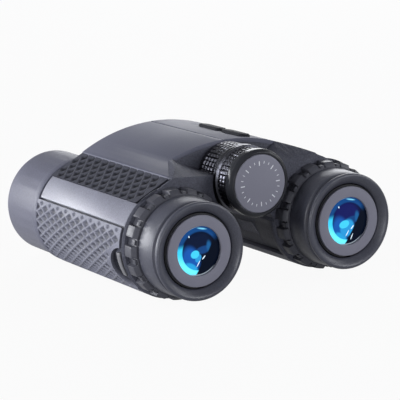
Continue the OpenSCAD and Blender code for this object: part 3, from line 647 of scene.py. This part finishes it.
def ramp(tree, value, none_at, full_at):
    """Rises smoothly from 0 to 1 between two values."""
    edge = add(tree, "ShaderNodeMapRange", interpolation_type="SMOOTHSTEP")
    tree.links.new(value, edge.inputs["Value"])
    edge.inputs["From Min"].default_value = none_at
    edge.inputs["From Max"].default_value = full_at
    return edge.outputs["Result"]


def weighed(tree, first, second, by_first, by_second, operation="ADD"):
    """The first value times its weight, plus or less the second times its own."""
    return calc(tree, operation, calc(tree, "MULTIPLY", first, by_first),
                calc(tree, "MULTIPLY", second, by_second))


def spot(tree, u, v, at, size, lean=0.0, soft=0.25):
    """1 inside an ellipse at (u, v), leaning by an angle in degrees, and 0 outside it."""
    c, s = math.cos(math.radians(lean)), math.sin(math.radians(lean))
    du, dv = calc(tree, "SUBTRACT", u, at[0]), calc(tree, "SUBTRACT", v, at[1])
    a = weighed(tree, du, dv, c / size[0], s / size[0])
    b = weighed(tree, dv, du, c / size[1], s / size[1], "SUBTRACT")
    apart = calc(tree, "SQRT", weighed(tree, a, b, a, b))
    return ramp(tree, apart, 1 + soft / 2, 1 - soft / 2)


def beyond(tree, u, v, bearing, distance, soft=0.06):
    """1 past a line square to a bearing in degrees, at a distance from the middle, and 0 before."""
    c, s = math.cos(math.radians(bearing)), math.sin(math.radians(bearing))
    return ramp(tree, weighed(tree, u, v, c, s), distance - soft, distance + soft)


def painted_lens_light(tree, u, v, top, fan):
    """Painted reflections, highlights and shade on the lens, laid one over another from the back to
    the front.

    Places and sizes are in lens radii, bearings in degrees. top: the colour of the upper half;
    fan: how far the bright patch spreads."""
    def lay(below, colour, mask):
        mix = add(tree, "ShaderNodeMixRGB")
        tree.links.new(mask, mix.inputs["Fac"])
        if isinstance(below, tuple):
            mix.inputs["Color1"].default_value = (*below, 1)
        else:
            tree.links.new(below, mix.inputs["Color1"])
        mix.inputs["Color2"].default_value = (*colour, 1)
        return mix.outputs["Color"]

    def disc(*place):
        return spot(tree, u, v, *place)

    def past(*line):
        return beyond(tree, u, v, *line)

    def both_of(a, b):
        return calc(tree, "MULTIPLY", a, b)

    def less(a, b):
        return calc(tree, "MULTIPLY", a, calc(tree, "SUBTRACT", 1.0, b))

    def ring(inner, at=(0, 0), soft=0.05):
        return less(disc((0, 0), (1, 1), 0, 0.02), disc(at, (inner, inner), 0, soft))

    # All that is laid below is painted light: reflections from inside in blue and cyan, painted
    # highlights, and painted shade.
    dark = (0.002, 0.004, 0.011)
    # Painted shade over the lower right of the lens.
    shade = past(-33, 0.38, 0.03)
    lit = dark
    for colour, *place in (
        (top, (-0.05, 0.3), (0.64, 0.52), 0, 0.6),
        ((0.01, 0.08, 0.34), (-0.38, -0.3), (0.36, 0.54), 15, 0.6),
        ((0.008, 0.045, 0.16), (0.18, 0.03), (0.34, 0.15), 5, 0.5),
        ((0.012, 0.09, 0.24), (0.46, 0.12), (0.11, 0.22), 0, 0.9),
        ((0.02, 0.3, 0.6), (-0.36, -0.6), (0.3, 0.13), -35, 0.6),
        ((0.022, 0.26, 0.56), (-0.06, -0.28), (0.17 + fan, 0.13 + fan), 60, 0.35),
        ((0.05, 0.52, 0.74), (-0.2, -0.1), (0.19 + fan / 4, 0.16), 10, 0.25),
    ):
        lit = lay(lit, colour, disc(*place))
    lit = lay(lit, dark, shade)
    painted_top_arc = both_of(ring(0.8, (0.02, -0.02), 0.1), past(100, 0.3, 0.2))
    lit = lay(lit, (0.008, 0.055, 0.19), painted_top_arc)
    lit = lay(lit, (0.16, 0.5, 0.7), disc((0.22, 0.87), (0.2, 0.03), -14, 0.9))
    painted_crescent = less(less(ring(0.76, (0.01, -0.02)), shade), past(95, 0.32, 0.14))
    painted_crescent = both_of(painted_crescent, past(200, 0.1, 0.1))
    lit = lay(lit, (0.045, 0.58, 0.86), painted_crescent)
    lit = lay(lit, (0.15, 0.82, 0.95), both_of(painted_crescent, past(235, 0.66, 0.2)))
    # Painted highlights along the upper left and the bottom of the rim.
    rim = ring(0.955, soft=0.03)
    lit = lay(lit, (0.3, 0.52, 0.66), both_of(rim, past(150, 0.55, 0.3)))
    lit = lay(lit, (0.26, 0.3, 0.34), both_of(rim, past(-80, 0.85, 0.08)))
    # Painted highlights: small white streaks and a dot.
    painted_glints = [((-0.06, -0.5), (0.14, 0.018), 58), ((0.19, -0.285), (0.1, 0.024), 44),
              ((-0.4, 0.64), (0.022, 0.04), 0)]
    if fan:
        painted_glints.append(((0.17, -0.68), (0.13, 0.02), 66))
    for painted_glint in painted_glints:
        lit = lay(lit, (0.72, 0.86, 0.95), disc(*painted_glint, 0.5))
    return lit


eye_lens_r = 9.24 * MM


def eye_glass(name, centre_x, top, fan):
    """Coated glass with the painted reflections and shade round an axis at centre_x. The painted
    colours also glow a little, as painted light.
    """
    mat, tree, shader = new_material(name)
    place = add(tree, "ShaderNodeTexCoord")
    split = add(tree, "ShaderNodeSeparateXYZ")
    tree.links.new(place.outputs["Object"], split.inputs["Vector"])
    u, v = (calc(tree, "DIVIDE", calc(tree, "SUBTRACT", split.outputs[axis], middle), eye_lens_r)
            for axis, middle in (("X", centre_x), ("Z", barrel_z)))
    lit = painted_lens_light(tree, u, v, top, fan)
    tree.links.new(lit, shader.inputs["Base Color"])
    # The painted reflections also glow: painted light.
    tree.links.new(lit, shader.inputs["Emission Color"])
    shader.inputs["Emission Strength"].default_value = 0.45
    shader.inputs["Roughness"].default_value = 0.06
    shader.inputs["Specular IOR Level"].default_value = 0.04
    return mat


dress(eye_glass("left eye glass", -barrel_x, (0.004, 0.009, 0.03), 0.0), ["left_eye_lens"])
dress(eye_glass("right eye glass", barrel_x, (0.008, 0.011, 0.085), 0.2), ["right_eye_lens"])
plate_grey = stippled("face plate grey", (0.16, 0.16, 0.2), grain=7000.0, depth=0.008,
                      variation=0.1, gloss=(0.45, 0.55))
dress(plate_grey, both("face_plate"), 0.12)
dress(black_metal, both("ocular_tube", "eyecup_sleeve"))


# ---- Eyecups ---------------------------------------------------------------------------------
# Twist-up cups of soft satin rubber on a metal sleeve. A hollow slopes down from the full lip to
# the face plate, and a groove behind the lip parts it from the plain wall.

cup_rubber = stippled("eyecup rubber", (0.044, 0.046, 0.062), grain=2000.0, depth=0.05,
                      variation=0.35, gloss=(0.32, 0.42), specular=0.4)
lip_r, cup_seat_r = 18.5, 16.45
cup_floor_y, cup_base_y = 2.55, 13.2


def eyecup(side, sign, around=128):
    """The cup turned about the barrel's axis, from (radius, depth) points in millimetres."""
    hollow = [(14.35, cup_floor_y), (14.4, 2.2), (14.65, 1.95), (15.0, 1.65), (15.4, 1.3),
              (15.8, 0.95), (16.2, 0.62), (16.6, 0.34), (16.95, 0.13), (17.3, 0.01)]
    lip = [(17.6, 0.0), (17.9, 0.07), (18.2, 0.28), (18.4, 0.6), (lip_r, 1.0), (18.45, 1.45),
           (18.25, 1.9)]
    groove = [(17.7, 2.3), (17.1, 2.6), (16.9, 3.1), (17.3, 3.7), (18.1, 4.2)]
    wall = [(18.35, 5), (18.6, 9), (18.7, cup_base_y - 0.3), (18.4, cup_base_y),
            (cup_seat_r, cup_base_y), (cup_seat_r, cup_floor_y)]
    bm = bmesh.new()
    turns = [2 * math.pi * k / around for k in range(around)]
    rings = [[bm.verts.new((sign * -barrel_x + r * MM * math.cos(a), eyecup_y + y * MM,
                            barrel_z + r * MM * math.sin(a))) for a in turns]
             for r, y in hollow + lip + groove + wall]
    for a, b in zip(rings, rings[1:] + rings[:1]):
        for k in range(around):
            bm.faces.new((a[k], a[(k + 1) % around], b[(k + 1) % around], b[k]))
    bmesh.ops.recalc_face_normals(bm, faces=bm.faces)
    cup = finish_mesh(side + ".eyecup", bm, cup_rubber, 38)
    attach(cup, side + "_eyecup")
    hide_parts(side + "_eyecup_rubber")


eyecup("left", 1)
eyecup("right", -1)


# ---- Castellated collars ---------------------------------------------------------------------
# Glossy black moulded rings behind the eyecups. The right one turns to set the dioptre.

ring_black = stippled("glossy ring plastic", (0.05, 0.051, 0.063), grain=3200.0, depth=0.02,
                      variation=0.3, gloss=(0.34, 0.46))
dress(ring_black, ["left_collar", "diopter_ring"], 0.14)


# ---- Focusing knob ---------------------------------------------------------------------------
# A turned aluminium knob, anodised black: a pegged drum and a pegged band with smooth fluted bands
# between, then a polished bevel round a grey cap with a plain ring of marks.

knob_black = bare_metal("black pegged aluminium", (0.075, 0.076, 0.09), grain=3200.0,
                        depth=0.01, variation=0.2, gloss=(0.28, 0.36))
bezel_black = stippled("polished black bevel", (0.02, 0.021, 0.025), grain=3200.0, depth=0.004,
                       variation=0.2, gloss=(0.2, 0.28), specular=0.15)
cap_grey = stippled("cap grey", (0.16, 0.161, 0.2), grain=8000.0, depth=0.006, variation=0.08,
                    gloss=(0.4, 0.5))
mark_white = stippled("printed marks", (0.62, 0.63, 0.66), grain=6000.0, depth=0.004,
                      variation=0.1, gloss=(0.5, 0.6))
dress(knob_black, ["focus_knob"], 0.12)
dress(bezel_black, ["knob_bezel"], 0.12)
dress(cap_grey, ["knob_cap"], 0.3)

cap_low, cap_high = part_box("knob_cap")
cap_z = (cap_low.z + cap_high.z) / 2
mark_r, mark_h, mark_root, mark_count = 8.6, 0.06, 0.1, 24
long_mark, short_mark = (1.7, 0.34), (0.9, 0.24)


def mark_bar(bm, turn, length, width):
    """One printed bar on the cap, from radius mark_r towards the middle."""
    c, s = math.cos(turn), math.sin(turn)
    corners = [(mark_r, -width / 2), (mark_r, width / 2), (mark_r - length, width / 2),
               (mark_r - length, -width / 2)]
    low, top = ([bm.verts.new(((r * c - w * s) * MM, y, cap_z + (r * s + w * c) * MM))
                 for r, w in corners]
                for y in (cap_low.y + mark_root * MM, cap_low.y - mark_h * MM))
    for i in range(4):
        bm.faces.new((low[i], low[(i + 1) % 4], top[(i + 1) % 4], top[i]))
    bm.faces.new(top)
    bm.faces.new(low[::-1])


bm = bmesh.new()
for i in range(mark_count):
    mark_bar(bm, 2 * math.pi * i / mark_count, *(short_mark if i % 3 else long_mark))
bmesh.ops.recalc_face_normals(bm, faces=bm.faces)
marks = finish_mesh("cap.marks", bm, mark_white, 30)
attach(marks, "focus_knob")


# ---- Press buttons ---------------------------------------------------------------------------
# Two black rubber buttons that stand a millimetre proud of the right cover.

button_rubber = stippled("button rubber", (0.014, 0.0145, 0.018), variation=0.2,
                         gloss=(0.55, 0.65), specular=0.05)
dress(button_rubber, ["front_button", "rear_button"], 0.3)
